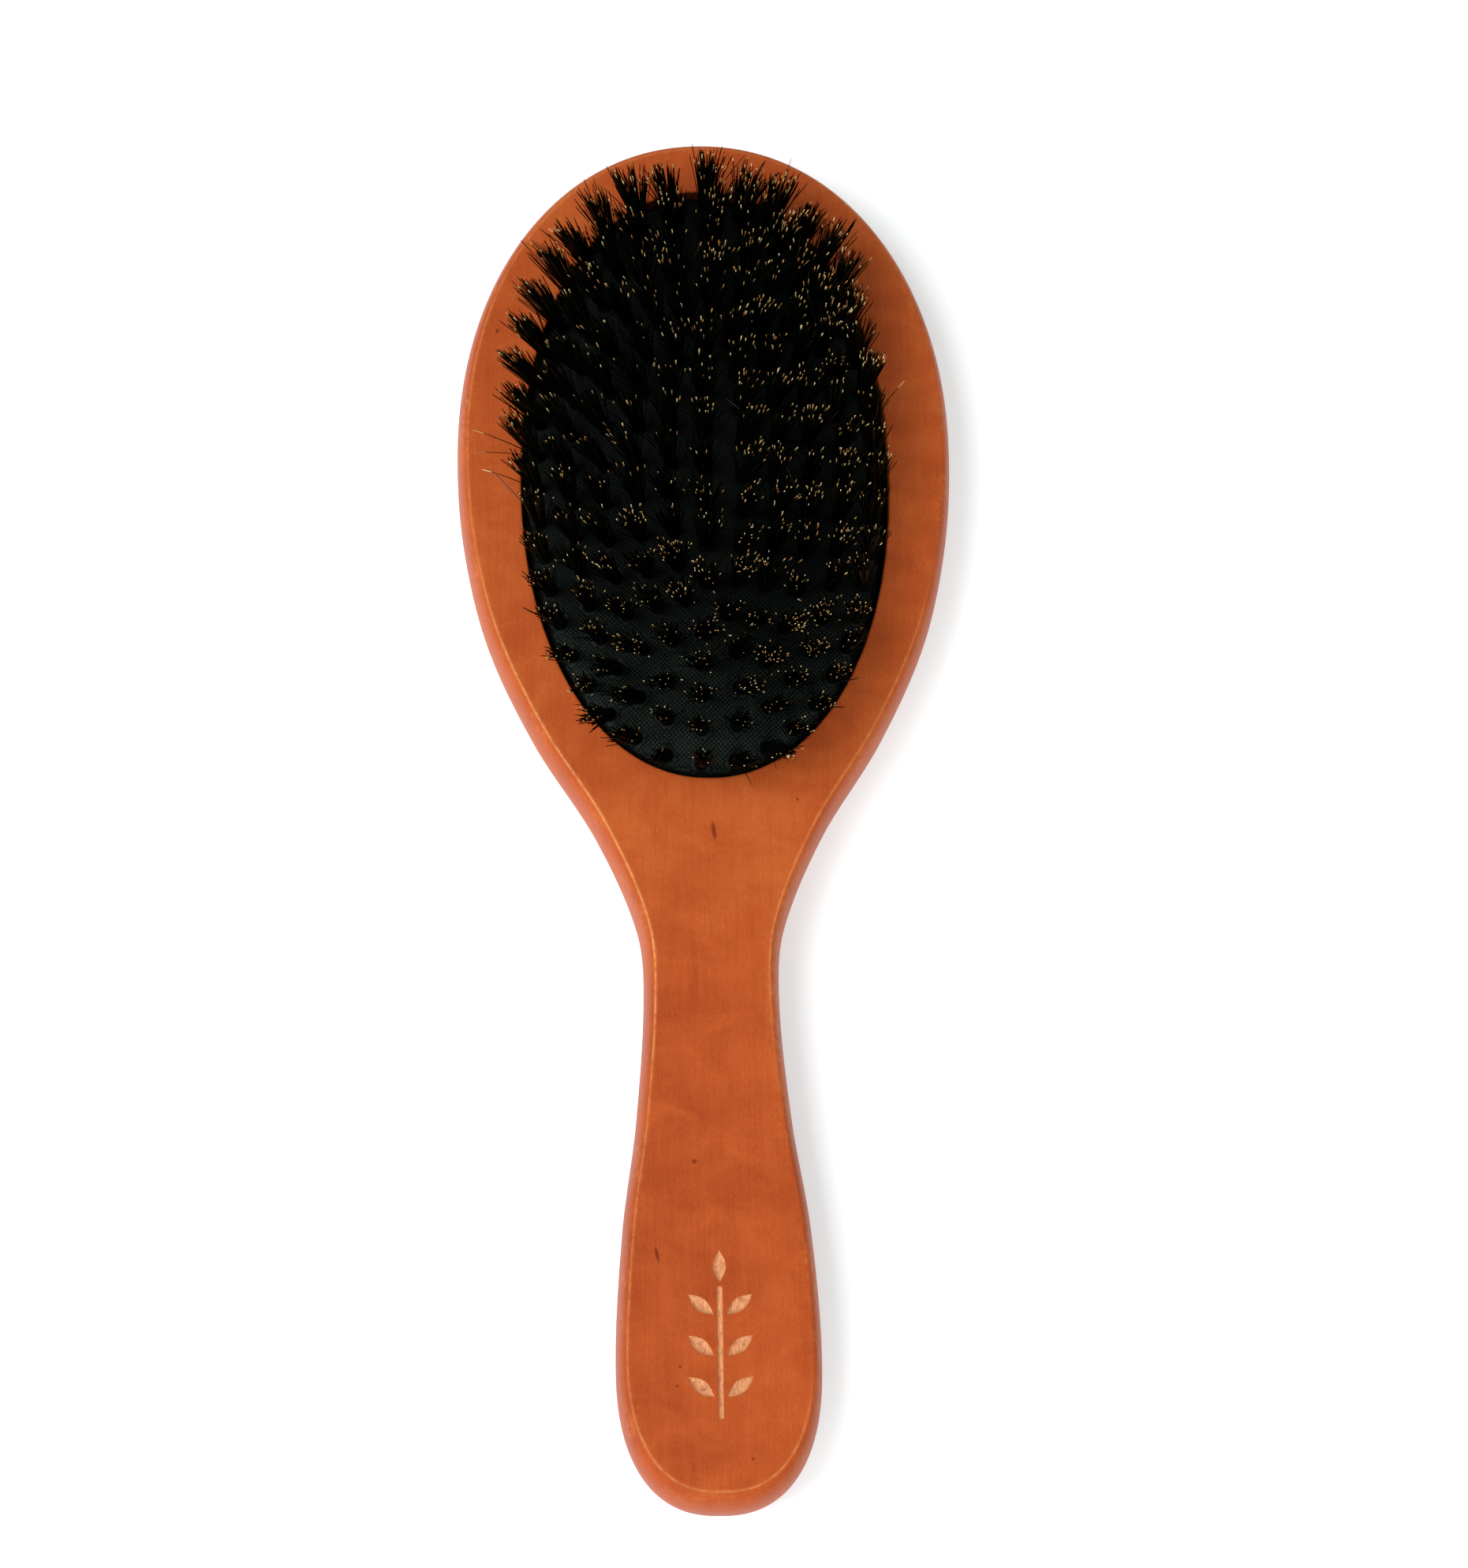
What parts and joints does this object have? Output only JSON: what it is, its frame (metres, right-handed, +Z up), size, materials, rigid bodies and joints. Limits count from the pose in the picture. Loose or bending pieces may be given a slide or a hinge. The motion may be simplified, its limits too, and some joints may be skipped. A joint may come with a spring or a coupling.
{
  "type": "vanity hairbrush",
  "caption": "Oval cushion hairbrush: varnished wooden head and handle in one piece, a domed rubber cushion in its recess, and rings of bristle tufts that sink with the cushion.",
  "frame": {"origin": "centre of the bounding box on the plane that the back of the brush rests on", "axes": "+Y along the brush from the handle to the head, +Z up out of the bristles, +X to the right seen from the bristle side with the head at the top"},
  "size_m": [0.078, 0.2187, 0.033],
  "materials": {
    "varnished_wood": "satin",
    "pad_rubber": "matte",
    "backing_cloth": "matte",
    "bristle": "satin"
  },
  "bodies": {
    "brush_body": {"wood_body": "varnished_wood", "cushion_pad": "pad_rubber", "backing_cloth": "backing_cloth"},
    "cushion_centre": {"tufts_ring4_a": "bristle", "tufts_ring4_b": "bristle", "tufts_ring4_c": "bristle", "tufts_ring4_d": "bristle", "tufts_ring4_e": "bristle", "tufts_ring4_f": "bristle", "tufts_ring5_a": "bristle", "tufts_ring5_b": "bristle", "tufts_ring5_c": "bristle", "tufts_ring5_d": "bristle", "tufts_ring5_e": "bristle", "tufts_centre_a": "bristle", "tufts_centre_b": "bristle"},
    "cushion_ring1": {"tufts_ring1_a": "bristle", "tufts_ring1_b": "bristle", "tufts_ring1_c": "bristle", "tufts_ring1_d": "bristle", "tufts_ring1_e": "bristle", "tufts_ring1_f": "bristle", "tufts_ring1_g": "bristle", "tufts_ring1_h": "bristle", "tufts_ring1_i": "bristle", "tufts_ring1_j": "bristle", "tufts_ring1_k": "bristle"},
    "cushion_ring2": {"tufts_ring2_a": "bristle", "tufts_ring2_b": "bristle", "tufts_ring2_c": "bristle", "tufts_ring2_d": "bristle", "tufts_ring2_e": "bristle", "tufts_ring2_f": "bristle", "tufts_ring2_g": "bristle", "tufts_ring2_h": "bristle", "tufts_ring2_i": "bristle"},
    "cushion_ring3": {"tufts_ring3_a": "bristle", "tufts_ring3_b": "bristle", "tufts_ring3_c": "bristle", "tufts_ring3_d": "bristle", "tufts_ring3_e": "bristle", "tufts_ring3_f": "bristle", "tufts_ring3_g": "bristle"}
  },
  "joints": [
    {"name": "cushion_press", "type": "slide", "parent": "brush_body", "child": "cushion_centre", "axis": [0, 0, -1], "range_m": [0, 0.004], "stiffness_N_per_m": 3000, "deforming": ["cushion_pad", "backing_cloth"]},
    {"name": "ring1_press", "type": "slide", "parent": "brush_body", "child": "cushion_ring1", "axis": [0, 0, -1], "range_m": [0, 0.000477]},
    {"name": "ring2_press", "type": "slide", "parent": "brush_body", "child": "cushion_ring2", "axis": [0, 0, -1], "range_m": [0, 0.00222]},
    {"name": "ring3_press", "type": "slide", "parent": "brush_body", "child": "cushion_ring3", "axis": [0, 0, -1], "range_m": [0, 0.00344]}
  ],
  "couplings": [
    {"joint": "ring1_press", "follows": "cushion_press", "ratio": 0.1168},
    {"joint": "ring2_press", "follows": "cushion_press", "ratio": 0.552},
    {"joint": "ring3_press", "follows": "cushion_press", "ratio": 0.858}
  ]
}
